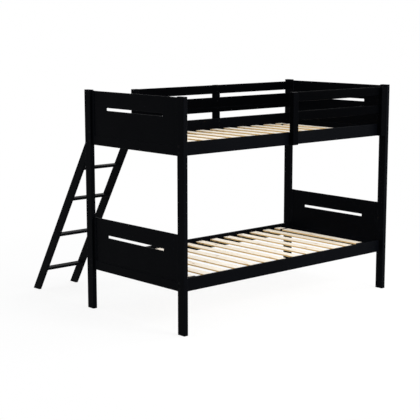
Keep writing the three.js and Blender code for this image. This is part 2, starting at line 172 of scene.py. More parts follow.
def painted_wood(name, stretch, lean=0.0, share=1.0):
    finish, tree, shader, place = new_finish(name)
    if lean:
        place = add(tree, "ShaderNodeMapping", {"Vector": place, "Rotation": (lean, 0, 0)}).outputs[0]
    along = stretched(tree, place, stretch)

    grain = noise(tree, along, 1.0, 5.0, 0.62, 0.3)
    pores = noise(tree, along, 3.1, 2.0)
    peel = noise(tree, place, 620.0, 2.0)
    drift = noise(tree, place, 5.0, 3.0)
    slow = noise(tree, place, 1.3, 1.0)
    coat = maths(tree, "ADD", remap(tree, grain, 0.3, 0.75, 0.0, 0.45),
                 remap(tree, slow, 0.35, 0.65, 0.0, 0.55))

    softened = add(tree, "ShaderNodeBevel", {"Radius": RUB_AND_HIGHLIGHT_WIDTH}, samples=4).outputs["Normal"]
    true_face = add(tree, "ShaderNodeNewGeometry").outputs["True Normal"]
    turned = add(tree, "ShaderNodeVectorMath", {0: softened, 1: true_face}, operation="DOT_PRODUCT")
    edge = remap(tree, turned.outputs["Value"], 0.985, 0.86, 0.0, 1.0)
    # Edge mask: lightens the rounded edges as worn paint and as a painted highlight.
    rub_and_highlight = maths(tree, "MULTIPLY", edge, remap(tree, drift, 0.35, 0.7, 0.25, 1.0))

    paint = blend_colours(tree, coat, toned(DEEP, share), toned(LIGHT, share))
    ridges = bump(tree, grain, 0.35, 0.0004)
    pitted = bump(tree, remap(tree, pores, 0.3, 0.42, 0.0, 1.0), 0.25, 0.0002, Normal=ridges)
    set_inputs(tree, shader, {
        "Base Color": blend_colours(tree, rub_and_highlight, paint, toned(RUBBED_AND_HIGHLIGHT, 0.4 + 0.6 * share)),
        "Roughness": remap(tree, drift, 0.3, 0.7, 0.36, 0.5),
        "Normal": bump(tree, peel, 0.12, 0.0002, Normal=pitted),
        "Specular IOR Level": PAINT_GLOSS * share,
    })
    return finish


FINE, LONG = 230.0, 6.0
paint_x = painted_wood("painted_wood_x", (LONG, FINE, FINE))
paint_y = painted_wood("painted_wood_y", (FINE, LONG, FINE))
paint_z = painted_wood("painted_wood_z", (FINE, FINE, LONG))
LADDER_LEAN = math.radians(30.9)
paint_ladder = painted_wood("painted_wood_leaning", (FINE, FINE, LONG), -LADDER_LEAN)
# The guards' darker, less glossy finishes are painted shade that sets them darker than the rest.
guard_x_painted_shade = painted_wood("guard_x_with_painted_shade", (LONG, FINE, FINE), share=0.35)
guard_z_painted_shade = painted_wood("guard_z_with_painted_shade", (FINE, FINE, LONG), share=0.5)
print("painted finishes:", [finish.name for finish in (
    paint_x, paint_y, paint_z, paint_ladder, guard_x_painted_shade, guard_z_painted_shade)])

# %% [markdown]
# ## Bare pine
# A slat is a flat-sawn board. Its face shows long, soft flames of darker late wood, a few small
# knots, and fine streaks. Each slat carries a number of its own in an attribute, which slides the
# pattern, so that no two slats are cut from the same place. The long edges are sawn across the
# rings, so they are a deeper honey colour than the face, and the end grain is darker still.

# %% Pine
RINGS = 15.0


def bare_pine(name):
    finish, tree, shader, place = new_finish(name)
    board = add(tree, "ShaderNodeAttribute", attribute_name="board").outputs["Fac"]
    slide = add(tree, "ShaderNodeCombineXYZ", {
        0: remap(tree, board, 0.0, 1.0, 0.0, 3.7),
        1: remap(tree, board, 0.0, 1.0, 0.0, 41.0),
        2: remap(tree, board, 0.0, 1.0, 0.0, 1.3),
    }).outputs[0]
    cut_from = add(tree, "ShaderNodeVectorMath", {0: place, 1: slide}, operation="ADD").outputs[0]

    swell = noise(tree, stretched(tree, cut_from, (16.0, 1.1, 16.0)), 1.0, 2.5, 0.45, 0.2)
    ring = maths(tree, "FRACT", maths(tree, "MULTIPLY", swell, RINGS))
    late = add(tree, "ShaderNodeValToRGB", {0: ring})
    ramp = late.color_ramp
    ramp.elements[0].position, ramp.elements[0].color = 0.0, (0, 0, 0, 1)
    ramp.elements[1].position, ramp.elements[1].color = 0.78, (1, 1, 1, 1)
    ramp.elements.new(0.86).color = (0.15, 0.15, 0.15, 1)
    ramp.elements.new(1.0).color = (0, 0, 0, 1)

    fibre = noise(tree, stretched(tree, cut_from, (420.0, 9.0, 420.0)), 1.0, 4.0, 0.6)

    cell = add(tree, "ShaderNodeTexVoronoi", {
        "Vector": stretched(tree, cut_from, (9.0, 3.2, 9.0)), "Scale": 1.0, "Randomness": 1.0,
    }, voronoi_dimensions="2D").outputs["Distance"]
    knot = remap(tree, cell, 0.055, 0.030, 0.0, 0.8)
    halo = remap(tree, cell, 0.16, 0.04, 0.0, 0.35)

    facing = add(tree, "ShaderNodeVectorMath", {
        0: add(tree, "ShaderNodeNewGeometry").outputs["True Normal"],
    }, operation="ABSOLUTE").outputs[0]
    facing = add(tree, "ShaderNodeSeparateXYZ", {0: facing}).outputs
    long_edge = remap(tree, facing["X"], 0.35, 0.85, 0.0, 0.92)
    end_grain = remap(tree, facing["Y"], 0.7, 0.9, 0.0, 0.6)

    early = blend_colours(tree, board, (0.880, 0.822, 0.722, 1), (0.915, 0.872, 0.797, 1))
    ringed = blend_colours(tree, remap(tree, late.outputs["Color"], 0.0, 1.0, 0.0, 0.42), early,
                           (0.760, 0.600, 0.400, 1))
    streaked = blend_colours(tree, remap(tree, fibre, 0.35, 0.75, 0.0, 0.25), ringed,
                             (0.680, 0.540, 0.380, 1))
    haloed = blend_colours(tree, halo, streaked, (0.600, 0.400, 0.220, 1))
    knotted = blend_colours(tree, knot, haloed, (0.300, 0.165, 0.080, 1))
    edged = blend_colours(tree, long_edge, knotted, (0.770, 0.505, 0.185, 1))
    raised = bump(tree, late.outputs["Color"], 0.25, 0.0003)
    set_inputs(tree, shader, {
        "Base Color": blend_colours(tree, end_grain, edged, (0.420, 0.290, 0.170, 1)),
        "Roughness": remap(tree, fibre, 0.3, 0.7, 0.6, 0.8),
        "Normal": bump(tree, fibre, 0.4, 0.0003, Normal=raised),
        "Specular IOR Level": 0.03,
    })
    return finish


pine = bare_pine("bare_pine")
print("pine nodes:", len(pine.node_tree.nodes))

# %% [markdown]
# ## Metals
# The hook straps are powder coated, which dries to a fine pebble. The bolts are blackened steel, the
# slat screws are zinc plated, and the corner pins are bright bar with fine turning marks.

# %% Metals
def coated_steel(name):
    finish, tree, shader, place = new_finish(name)
    pebble = add(tree, "ShaderNodeTexVoronoi", {"Vector": place, "Scale": 900.0}).outputs["Distance"]
    drift = noise(tree, place, 40.0, 3.0)
    set_inputs(tree, shader, {
        "Base Color": blend_colours(tree, drift, (0.008, 0.008, 0.009, 1), (0.016, 0.016, 0.017, 1)),
        "Roughness": remap(tree, drift, 0.3, 0.7, 0.42, 0.6),
        "Specular IOR Level": 0.4,
        "Normal": bump(tree, pebble, 0.3, 0.0002),
    })
    return finish


def blackened_steel(name):
    finish, tree, shader, place = new_finish(name)
    bloom = noise(tree, place, 260.0, 3.0)
    set_inputs(tree, shader, {
        "Base Color": blend_colours(tree, bloom, (0.0016, 0.0017, 0.0020, 1), (0.0034, 0.0035, 0.0040, 1)),
        "Roughness": remap(tree, bloom, 0.3, 0.7, 0.34, 0.5),
        "Specular IOR Level": 0.03,
    })
    return finish


def plated_steel(name, dull, bright, smooth, rough):
    finish, tree, shader, place = new_finish(name)
    bloom = noise(tree, place, 220.0, 4.0)
    marks = noise(tree, stretched(tree, place, (90, 90, 4200)), 1.0, 2.0)
    set_inputs(tree, shader, {
        "Base Color": blend_colours(tree, bloom, dull, bright),
        "Metallic": 1.0,
        "Roughness": remap(tree, bloom, 0.3, 0.7, smooth, rough),
        "Normal": bump(tree, marks, 0.15, 0.0001),
    })
    return finish


powder_coat = coated_steel("powder_coat")
black_bolt = blackened_steel("blackened_steel")
zinc_screw = plated_steel("zinc_plate", (0.38, 0.37, 0.34, 1), (0.62, 0.61, 0.57, 1), 0.25, 0.42)
bright_bar = plated_steel("bright_bar", (0.42, 0.42, 0.42, 1), (0.60, 0.60, 0.60, 1), 0.2, 0.36)
print("metal finishes:", [finish.name for finish in (powder_coat, black_bolt, zinc_screw, bright_bar)])

# %% [markdown]
# ## Boards
# Nearly every piece is a planed board. One helper makes it: a box whose edges along the grain get
# the larger rounding, and whose end edges are only broken. A Bevel modifier reads both from the
# edges' bevel weights. Pieces that are cut afterwards, for a housing or a bolt, go through a second
# helper. The last one hands the finished piece to the frame: it hides the nodes that the piece
# stands for and hangs it on the body that carries it.

# %% Items and their rounding
ROUND, END_EASE, BROKEN, SHARP_EDGE = 0.004, 0.002, 0.0015, 0.001
SHARP = 40
GRAIN_PAINT = {"x": paint_x, "y": paint_y, "z": paint_z}
# The guards take the finishes with painted shade.
GUARD_PAINTED_SHADE = {"x": guard_x_painted_shade, "z": guard_z_painted_shade}


def as_mesh(item):
    """The evaluated item as a plain mesh, without its modifiers."""
    graph = bpy.context.evaluated_depsgraph_get()
    mesh = bpy.data.meshes.new_from_object(item.evaluated_get(graph))
    item.modifiers.clear()
    item.data = mesh
    return item


def link_new(name, mesh):
    item = bpy.data.objects.new(name, mesh)
    bpy.context.scene.collection.objects.link(item)
    return item


def link_shell(name, shell, *finishes):
    """A new item from a bmesh, which is freed."""
    mesh = bpy.data.meshes.new(name)
    shell.to_mesh(mesh)
    shell.free()
    for finish in finishes:
        mesh.materials.append(finish)
    return link_new(name, mesh)


def rounded(item, width, segments, limit, angle=0.5):
    bevel = item.modifiers.new("rounding", "BEVEL")
    bevel.limit_method = limit
    bevel.angle_limit = angle
    bevel.width = width
    bevel.segments = segments
    return as_mesh(item)

# %% Boards and other solids
def board_item(name, boards, segments=4, paints=GRAIN_PAINT):
    """One item of any number of boards: each is (low, high, grain, rounding, end easing)."""
    shell = bmesh.new()
    weight = shell.edges.layers.float.new("bevel_weight_edge")
    widest = max(max(board[3], board[4]) for board in boards)
    finishes = []
    for low, high, grain, rounding, easing in boards:
        low, high = Vector(low), Vector(high)
        size = high - low
        place = Matrix.Translation((low + high) / 2) @ Matrix.Diagonal((*size, 1))
        made = bmesh.ops.create_cube(shell, size=1.0, matrix=place)
        axis = "xyz".index(grain)
        if paints[grain] not in finishes:
            finishes.append(paints[grain])
        for edge in {edge for vert in made["verts"] for edge in vert.link_edges}:
            span = edge.verts[1].co - edge.verts[0].co
            along = abs(span[axis]) > 0.9 * span.length
            edge[weight] = (rounding if along else easing) / widest
        for face in {face for vert in made["verts"] for face in vert.link_faces}:
            face.smooth = True
            face.material_index = finishes.index(paints[grain])
    return rounded(link_shell(name, shell, *finishes), widest, segments, "WEIGHT")


def pushed_out(name, outline, low_x, high_x, finish):
    """A solid whose side outline, in (y, z) pairs, is pushed out from one x to the other."""
    shell = bmesh.new()
    base = shell.faces.new([shell.verts.new((low_x, y, z)) for y, z in outline])
    pushed = bmesh.ops.extrude_face_region(shell, geom=[base])["geom"]
    for vert in (part for part in pushed if isinstance(part, bmesh.types.BMVert)):
        vert.co.x = high_x
    bmesh.ops.recalc_face_normals(shell, faces=shell.faces)
    return link_shell(name, shell, finish)

# %% Cutting
def cut_away(item, cutters):
    """Cuts the cutter items out of the item, and removes them."""
    for cutter in cutters:
        boolean = item.modifiers.new("cut", "BOOLEAN")
        boolean.operation = "DIFFERENCE"
        boolean.solver = "EXACT"
        boolean.object = cutter
    as_mesh(item)
    for cutter in cutters:
        bpy.data.objects.remove(cutter)
    return item


def box_cutter(low, high):
    shell = bmesh.new()
    low, high = Vector(low), Vector(high)
    place = Matrix.Translation((low + high) / 2) @ Matrix.Diagonal((*(high - low), 1))
    bmesh.ops.create_cube(shell, size=1.0, matrix=place)
    return link_shell("cutter", shell)


def round_cutter(spots, radius, depth):
    """Blind round holes: each spot is (point on the face, outward direction)."""
    shell = bmesh.new()
    for point, outward in spots:
        turn = Vector(outward).to_track_quat("Z", "Y").to_matrix().to_4x4()
        place = Matrix.Translation(Vector(point)) @ turn
        bmesh.ops.create_cone(shell, cap_ends=True, segments=40, radius1=radius, radius2=radius,
                              depth=2 * depth, matrix=place)
    return link_shell("holes", shell)

# %% Shading and handing over
def shade_flat_faces(item):
    """Keeps broad faces flat and lets the rounded edges run smoothly into them."""
    item.data.set_sharp_from_angle(angle=math.radians(SHARP))
    for face in item.data.polygons:
        face.use_smooth = True
    weighted = item.modifiers.new("face_weighted", "WEIGHTED_NORMAL")
    weighted.keep_sharp = True
    weighted.weight = 100
    return as_mesh(item)


def hand_over(item, body, slot, *nodes):
    if nodes:
        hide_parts(*nodes)
    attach(item, body)
    print(item.name, len(item.data.polygons), "faces")

# %% [markdown]
# ## Where the bolts and screws go
# The places are worked out before the boards are cut, because a bolt head lies in a round recess.
# Each spot is a point on a face and the direction that the head looks. Two furniture bolts go
# through the end of each post into each side rail, and one through the rear right post into each
# rail of the rear guard. Screws hold the guards from inside, the treads from outside the ladder's
# rails, and the slats from above.

# %% Bolt places
SIDES, ENDS, LEVELS = ("front", "rear"), ("left", "right"), ("lower", "upper")
BOLT_FROM_EDGE = 0.025
GUARD_BOLT_DROP, GUARD_BOLT_APART, GUARD_BOLT_ASIDE = 0.022, 0.034, 0.014
RECESS_RADIUS, RECESS_DEPTH = 0.0088, 0.0028
RAIL_THICKNESS = 0.020


def middle(values):
    return sum(values) / len(values)


bed_bolts = {}
for level in LEVELS:
    for side in SIDES:
        rail_low, rail_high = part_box(f"{level}_side_rail_{side}")
        y = rail_low.y + RAIL_THICKNESS / 2 if side == "front" else rail_high.y - RAIL_THICKNESS / 2
        heights = (rail_low.z + BOLT_FROM_EDGE, rail_high.z - BOLT_FROM_EDGE)
        for end in ENDS:
            post_low, post_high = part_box(f"{level}_post_{side}_{end}")
            x, outward = (post_low.x, (-1, 0, 0)) if end == "left" else (post_high.x, (1, 0, 0))
            bed_bolts[f"{level}_post_{side}_{end}"] = [((x, y, z), outward) for z in heights]
for rail in ("rear_guard_top_rail", "rear_guard_mid_rail"):
    rail_low, rail_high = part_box(rail)
    _, post_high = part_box("upper_post_rear_right")
    spot = (post_high.x, middle((rail_low.y, rail_high.y)), middle((rail_low.z, rail_high.z)))
    bed_bolts["upper_post_rear_right"].append((spot, (1, 0, 0)))

guard_bolts = {"upper_side_rail_front": [], "upper_side_rail_rear": []}
for side, post in (("front", "left"), ("front", "right"), ("rear", "left"), ("rear", "middle")):
    post_low, post_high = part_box(f"{side}_guard_post_{post}")
    rail_low, rail_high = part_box(f"upper_side_rail_{side}")
    x = middle((post_low.x, post_high.x))
    top = rail_high.z - GUARD_BOLT_DROP
    if side == "front":
        inner, outward = rail_low.y + RAIL_THICKNESS, (0, 1, 0)
        places = [(x - GUARD_BOLT_ASIDE, top), (x + GUARD_BOLT_ASIDE, top)]
    else:
        inner, outward = rail_high.y - RAIL_THICKNESS, (0, -1, 0)
        places = [(x, top), (x, top - GUARD_BOLT_APART)]
    guard_bolts[f"upper_side_rail_{side}"] += [((x, inner, z), outward) for x, z in places]

print("bed bolts:", sum(map(len, bed_bolts.values())), "guard bolts:",
      sum(map(len, guard_bolts.values())))

# %% Screw places
LAP_SCREW_SHARE, TREAD_SCREW_ASIDE = 0.27, 0.017
lap_screws = []
for side, posts in (("front", ("left", "right")), ("rear", ("left", "middle"))):
    for rail in ("top_rail", "mid_rail"):
        rail_low, rail_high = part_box(f"{side}_guard_{rail}")
        face, outward = (rail_high.y, (0, 1, 0)) if side == "front" else (rail_low.y, (0, -1, 0))
        for post in posts:
            post_low, post_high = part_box(f"{side}_guard_post_{post}")
            x = middle((max(post_low.x, rail_low.x), min(post_high.x, rail_high.x)))
            rise = (rail_high.z - rail_low.z) * LAP_SCREW_SHARE
            z = middle((rail_low.z, rail_high.z))
            lap_screws += [((x, face, z - rise), outward), ((x, face, z + rise), outward)]

tread_screws = {"ladder_rail_left": [], "ladder_rail_right": []}
for number in range(1, 5):
    tread_low, tread_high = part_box(f"ladder_tread_{number}")
    y, z = middle((tread_low.y, tread_high.y)), middle((tread_low.z, tread_high.z))
    for hand, outward in (("left", (-1, 0, 0)), ("right", (1, 0, 0))):
        rail_low, rail_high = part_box(f"ladder_rail_{hand}")
        x = rail_low.x if hand == "left" else rail_high.x
        tread_screws[f"ladder_rail_{hand}"] += [((x, y + aside, z), outward)
                                                for aside in (-TREAD_SCREW_ASIDE, TREAD_SCREW_ASIDE)]

print("tread screws:", sum(map(len, tread_screws.values())), "lap screws:", len(lap_screws))

# %% [markdown]
# ## Posts
# A post is a flat board on end. Lower posts carry a steel pin in their top end, and upper posts
# have a blind bore in their foot that drops over it.

# %% Posts
PIN_BORE, BORE_DEPTH, LIFT_GAP = 0.0064, 0.042, 0.0003
joint_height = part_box("upper_post_front_left")[0].z
for level in LEVELS:
    for side in SIDES:
        for end in ENDS:
            node = f"{level}_post_{side}_{end}"
            low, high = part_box(node)
            top = high.z if level == "upper" else joint_height - LIFT_GAP
            post = board_item(node + "_board", [(low, (high.x, high.y, top), "z", ROUND, END_EASE)])
            cutters = [round_cutter(bed_bolts[node], RECESS_RADIUS, RECESS_DEPTH)]
            if level == "upper":
                foot = (middle((low.x, high.x)), middle((low.y, high.y)), low.z)
                cutters.append(round_cutter([(foot, (0, 0, -1))], PIN_BORE, BORE_DEPTH))
            cut_away(post, cutters)
            hand_over(shade_flat_faces(post), f"{level}_bed", "painted_wood", node)

# %% [markdown]
# ## Framed end panels
# Two stiles and a bottom rail are grooved for a thin field that runs up to the panel's open top
# edge. The field has a long slot with small round corners, which serves as a grip. It is drawn as
# a flat curve with a hole in it: a curve's own bevel rounds the slot's edge all the way round.

# %% Slotted field
STILE, STILE_ROUND, BOTTOM_RAIL, FIELD, TONGUE = 0.027, 0.002, 0.063, 0.010, 0.006
SLOT_LENGTH, SLOT_HEIGHT, SLOT_DROP, SLOT_CORNER = 0.602, 0.019, 0.1105, 0.003
FIELD_EASE, CORNER_STEPS = 0.002, 4


def slotted_field(width, height):
    """The field, drawn in its own plane, with the slot's height measured from its top edge."""
    drawing = bpy.data.curves.new("field", "CURVE")
    drawing.dimensions = "2D"
    drawing.fill_mode = "BOTH"
    drawing.extrude = FIELD / 2 - FIELD_EASE
    drawing.bevel_depth = FIELD_EASE
    drawing.bevel_resolution = 2
    drawing.offset = -FIELD_EASE
    outline = [(0, 0), (width, 0), (width, height), (0, height)]
    across, up = SLOT_LENGTH / 2 - SLOT_CORNER, SLOT_HEIGHT / 2 - SLOT_CORNER
    level = height - SLOT_DROP - SLOT_HEIGHT / 2
    slot = []
    for turn, (side, rise) in enumerate(((1, 1), (-1, 1), (-1, -1), (1, -1))):
        for step in range(CORNER_STEPS + 1):
            angle = math.radians(90 * (turn + step / CORNER_STEPS))
            slot.append((width / 2 + side * across + SLOT_CORNER * math.cos(angle),
                         level + rise * up + SLOT_CORNER * math.sin(angle)))
    for points in (outline, slot):
        spline = drawing.splines.new("POLY")
        spline.points.add(len(points) - 1)
        for point, (u, v) in zip(spline.points, points):
            point.co = (u, v, 0, 1)
        spline.use_cyclic_u = True
    item = link_new("field", drawing)
    graph = bpy.context.evaluated_depsgraph_get()
    mesh = bpy.data.meshes.new_from_object(item.evaluated_get(graph))
    bpy.data.objects.remove(item)
    return mesh


def add_mesh(item, mesh, finish):
    """Adds a mesh to an item that has its finish already."""
    whole = bmesh.new()
    whole.from_mesh(item.data)
    start = len(whole.faces)
    whole.from_mesh(mesh)
    whole.faces.ensure_lookup_table()
    for face in whole.faces[start:]:
        face.material_index = item.data.materials.find(finish.name)
    whole.to_mesh(item.data)
    whole.free()

# %% End panels
FROM_DRAWING = Matrix(((0, 0, 1, 0), (1, 0, 0, 0), (0, 1, 0, 0), (0, 0, 0, 1)))
for level in LEVELS:
    for end in ENDS:
        node = f"{level}_end_panel_{end}"
        low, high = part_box(node)
        inner_low, inner_high = low.y + STILE, high.y - STILE
        panel = board_item(node + "_frame", [
            (low, (high.x, inner_low, high.z), "z", STILE_ROUND, BROKEN),
            ((low.x, inner_high, low.z), high, "z", STILE_ROUND, BROKEN),
            ((low.x, inner_low, low.z), (high.x, inner_high, low.z + BOTTOM_RAIL), "y", ROUND, BROKEN),
        ], segments=3)
        field_start = Vector((middle((low.x, high.x)), inner_low - TONGUE, low.z + BOTTOM_RAIL - TONGUE))
        mesh = slotted_field(inner_high - inner_low + 2 * TONGUE, high.z - field_start.z)
        mesh.transform(Matrix.Translation(field_start) @ FROM_DRAWING)
        add_mesh(panel, mesh, paint_y)
        hand_over(shade_flat_faces(panel), f"{level}_bed", "painted_wood", node)

# %% [markdown]
# ## Side rails
# Each side rail is a board with a cleat glued along its inner face, just below the slats. The upper
# rails also take the bolts of the guards.

# %% Side rails
CLEAT_HEIGHT, CLEAT_UNDER, GLUED = 0.014, 0.0002, 0.0005
for level in LEVELS:
    slat_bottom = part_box(f"{level}_slat_01")[0].z
    for side in SIDES:
        node = f"{level}_side_rail_{side}"
        low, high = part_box(node)
        cleat_high = slat_bottom - CLEAT_UNDER
        cleat_low = cleat_high - CLEAT_HEIGHT
        if side == "front":
            face = low.y + RAIL_THICKNESS
            rail, cleat = (low.y, face), (face - GLUED, high.y)
        else:
            face = high.y - RAIL_THICKNESS
            rail, cleat = (face, high.y), (low.y, face + GLUED)
        item = board_item(node + "_board", [
            ((low.x, rail[0], low.z), (high.x, rail[1], high.z), "x", ROUND, SHARP_EDGE),
            ((low.x, cleat[0], cleat_low), (high.x, cleat[1], cleat_high), "x", BROKEN, SHARP_EDGE),
        ])
        if node in guard_bolts:
            cut_away(item, [round_cutter(guard_bolts[node], RECESS_RADIUS, RECESS_DEPTH)])
        hand_over(shade_flat_faces(item), f"{level}_bed", "painted_wood", node)

# %% [markdown]
# ## Guards
# The guard posts are square in section with housings cut in their inner faces. The rails lie in
# them, flush, and have well-rounded edges that catch the light. The rear middle rail is wide, and a
# groove sets off a bead along its lower edge.

# %% Guards
FIT, GUARD_ROUND = 0.0002, 0.007
BEAD_HEIGHT, BEAD_DEPTH, BEAD_WIDTH, OVERRUN = 0.036, 0.003, 0.006, 0.01
room = Vector((FIT, FIT, FIT))
for side, posts in (("front", ("left", "right")), ("rear", ("left", "middle"))):
    rails = [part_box(f"{side}_guard_{rail}") for rail in ("top_rail", "mid_rail")]
    for post in posts:
        node = f"{side}_guard_post_{post}"
        low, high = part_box(node)
        item = board_item(node + "_board", [(low, high, "z", ROUND, END_EASE)], paints=GUARD_PAINTED_SHADE)
        cut_away(item, [box_cutter(rail_low - room, rail_high + room) for rail_low, rail_high in rails])
        hand_over(shade_flat_faces(item), "upper_bed", "painted_wood", node)
    for rail in ("top_rail", "mid_rail"):
        node = f"{side}_guard_{rail}"
        low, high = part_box(node)
        item = board_item(node + "_board", [(low, high, "x", GUARD_ROUND, SHARP_EDGE)], 5, GUARD_PAINTED_SHADE)
        if node == "rear_guard_mid_rail":
            groove = bmesh.new()
            ring = [groove.verts.new((x, low.y + y, low.z + BEAD_HEIGHT + z))
                    for x in (low.x - OVERRUN, high.x + OVERRUN)
                    for y, z in ((-BEAD_DEPTH, -BEAD_WIDTH), (BEAD_DEPTH, 0), (-BEAD_DEPTH, BEAD_WIDTH))]
            bmesh.ops.convex_hull(groove, input=ring)
            cut_away(item, [link_shell("groove", groove)])
        hand_over(shade_flat_faces(item), "upper_bed", "painted_wood", node)

# %% [markdown]
# ## Ladder
# A ladder rail is a leaning board whose foot is cut level and whose head is cut plumb, so that it
# sits flat on the side rail. Its outline is worked out from its box and the lean. Level trenches in
# the inner faces hold the treads.

# %% Ladder rails and treads
RAIL_DEPTH, RAIL_EASE = 0.067, 0.0025
TREAD_RECESS_RADIUS, TREAD_RECESS_DEPTH = 0.0058, 0.0015
level_depth = RAIL_DEPTH / math.cos(LADDER_LEAN)
treads = [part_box(f"ladder_tread_{number}") for number in range(1, 5)]


def leaning_board(name, low, high):
    slope = math.tan(LADDER_LEAN)
    foot = high.y - level_depth
    seat = (foot - low.y) / slope
    head = foot - slope * high.z
    outline = [(foot, 0), (high.y, 0), (head + level_depth, high.z), (low.y, high.z), (low.y, seat)]
    return rounded(pushed_out(name, outline, low.x, high.x, paint_ladder), RAIL_EASE, 3, "NONE")


for hand in ENDS:
    node = f"ladder_rail_{hand}"
    low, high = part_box(node)
    item = leaning_board(node + "_board", low, high)
    cutters = [box_cutter(tread_low - room, tread_high + room) for tread_low, tread_high in treads]
    cutters.append(round_cutter(tread_screws[node], TREAD_RECESS_RADIUS, TREAD_RECESS_DEPTH))
    hand_over(shade_flat_faces(cut_away(item, cutters)), "ladder", "painted_wood", node)
for number, (low, high) in enumerate(treads, 1):
    item = board_item(f"ladder_tread_{number}_board", [(low, high, "x", ROUND, SHARP_EDGE)])
    hand_over(shade_flat_faces(item), "ladder", "painted_wood", f"ladder_tread_{number}")

# %% [markdown]
# ## Hook straps
# A strap is bent from flat bar: it lies on the ladder's head, crosses the side rail and turns down
# behind it. It is drawn as its side outline, with the bend as two arcs, and pushed out to its width.

# %% Hook straps
STRAP, STRAP_EASE, INNER_BEND, BEND_STEP = 0.004, 0.0008, 0.003, 15
HOOK_SCREWS_BACK = (0.009, 0.031)


def arc(centre, radius, start, stop, step):
    return [(centre.x + radius * math.cos(math.radians(angle)),
             centre.y + radius * math.sin(math.radians(angle))) for angle in range(start, stop, step)]


def hook_strap(name, low, high):
    bend = INNER_BEND + STRAP
    centre = Vector((low.y + bend, high.z - bend))
    outline = [
        (high.y, high.z - STRAP), (high.y, high.z), *arc(centre, bend, 90, 181, BEND_STEP),
        (low.y, low.z), (low.y + STRAP, low.z), *arc(centre, INNER_BEND, 180, 89, -BEND_STEP),
    ]
    strap = pushed_out(name, outline, low.x, high.x, powder_coat)
    return rounded(strap, STRAP_EASE, 2, "ANGLE", math.radians(50))


hook_screws = []
for hand in ENDS:
    node = f"ladder_hook_{hand}"
    low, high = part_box(node)
    hand_over(shade_flat_faces(hook_strap(node + "_strap", low, high)), "ladder", "hook_steel", node)
    x = middle((low.x, high.x))
    hook_screws += [((x, high.y - back, high.z), (0, 0, 1)) for back in HOOK_SCREWS_BACK]

# %% [markdown]
# ## Slats
# Thirteen equal boards at an even pitch are a job for Geometry Nodes. The tree draws the section as
# a rounded rectangle, sweeps it along the slat's length and sets a copy at each place. The last slat
# stands a little closer to its neighbour. Every copy stores a random number, which the pine reads.

# %% Tree helpers
SECTION_STEPS = 4


def new_tree(name, inputs):
    tree = bpy.data.node_groups.new(name, "GeometryNodeTree")
    tree.is_modifier = True
    tree.interface.new_socket("Geometry", in_out="INPUT", socket_type="NodeSocketGeometry")
    for label, kind in inputs:
        tree.interface.new_socket(label, in_out="INPUT", socket_type=kind)
    tree.interface.new_socket("Geometry", in_out="OUTPUT", socket_type="NodeSocketGeometry")
    return tree, tree.nodes.new("NodeGroupInput"), tree.nodes.new("NodeGroupOutput")


def run_tree(item, tree, values):
    """Runs a tree on an item with its named inputs set, and keeps the result as a plain mesh."""
    modifier = item.modifiers.new("tree", "NODES")
    modifier.node_group = tree
    for socket in tree.interface.items_tree:
        if socket.in_out == "INPUT" and socket.name in values:
            modifier[socket.identifier] = values[socket.name]
    return as_mesh(item)


BOARD_INPUTS = [
    ("Width", "NodeSocketFloat"), ("Thickness", "NodeSocketFloat"), ("Rounding", "NodeSocketFloat"),
    ("Finish", "NodeSocketMaterial"),
]


def board_section(tree, given):
    """A rounded rectangle from a tree's width, thickness and rounding, as a curve."""
    plain = add(tree, "GeometryNodeCurvePrimitiveQuadrilateral", {
        "Width": given.outputs["Width"], "Height": given.outputs["Thickness"],
    }).outputs["Curve"]
    return add(tree, "GeometryNodeFilletCurve", {
        "Curve": plain, "Radius": given.outputs["Rounding"], "Count": SECTION_STEPS,
    }, mode="POLY").outputs["Curve"]


def end_tree(tree, given, result, shape):
    """Makes the copies real, gives them the finish and ends the tree."""
    solid = add(tree, "GeometryNodeRealizeInstances", {0: shape}).outputs[0]
    finished = add(tree, "GeometryNodeSetMaterial", {
        "Geometry": solid, "Material": given.outputs["Finish"],
    }).outputs[0]
    tree.links.new(finished, result.inputs[0])
    print(tree.name, "tree:", len(tree.nodes), "nodes")

# %% Slat tree
slat_tree, given, result = new_tree("slat_row", BOARD_INPUTS + [
    ("Count", "NodeSocketInt"), ("Pitch", "NodeSocketFloat"), ("Last Pull", "NodeSocketFloat"),
    ("First", "NodeSocketVector"), ("Length", "NodeSocketFloat"), ("Seed", "NodeSocketInt"),
])
far_end = add(slat_tree, "ShaderNodeCombineXYZ", {"Y": given.outputs["Length"]}).outputs[0]
run = add(slat_tree, "GeometryNodeCurvePrimitiveLine", {"End": far_end}).outputs["Curve"]
swept = add(slat_tree, "GeometryNodeCurveToMesh", {
    "Curve": run, "Profile Curve": board_section(slat_tree, given), "Fill Caps": True,
}).outputs["Mesh"]
step = add(slat_tree, "ShaderNodeCombineXYZ", {"X": given.outputs["Pitch"]}).outputs[0]
places = add(slat_tree, "GeometryNodeMeshLine", {
    "Count": given.outputs["Count"], "Start Location": given.outputs["First"], "Offset": step,
}).outputs["Mesh"]
is_last = add(slat_tree, "FunctionNodeCompare", {
    2: add(slat_tree, "GeometryNodeInputIndex").outputs[0],
    3: maths(slat_tree, "SUBTRACT", given.outputs["Count"], 1.0),
}, data_type="INT", operation="EQUAL").outputs[0]
pull = add(slat_tree, "ShaderNodeCombineXYZ", {"X": given.outputs["Last Pull"]}).outputs[0]
pulled = add(slat_tree, "GeometryNodeSetPosition", {
    "Geometry": places, "Selection": is_last, "Offset": pull,
}).outputs[0]
copies = add(slat_tree, "GeometryNodeInstanceOnPoints", {"Points": pulled, "Instance": swept}).outputs[0]
chance = add(slat_tree, "FunctionNodeRandomValue", {"Seed": given.outputs["Seed"]}, data_type="FLOAT")
numbered = add(slat_tree, "GeometryNodeStoreNamedAttribute", {
    "Geometry": copies, "Name": "board", "Value": chance.outputs[1],
}, data_type="FLOAT", domain="INSTANCE").outputs[0]
end_tree(slat_tree, given, result, numbered)

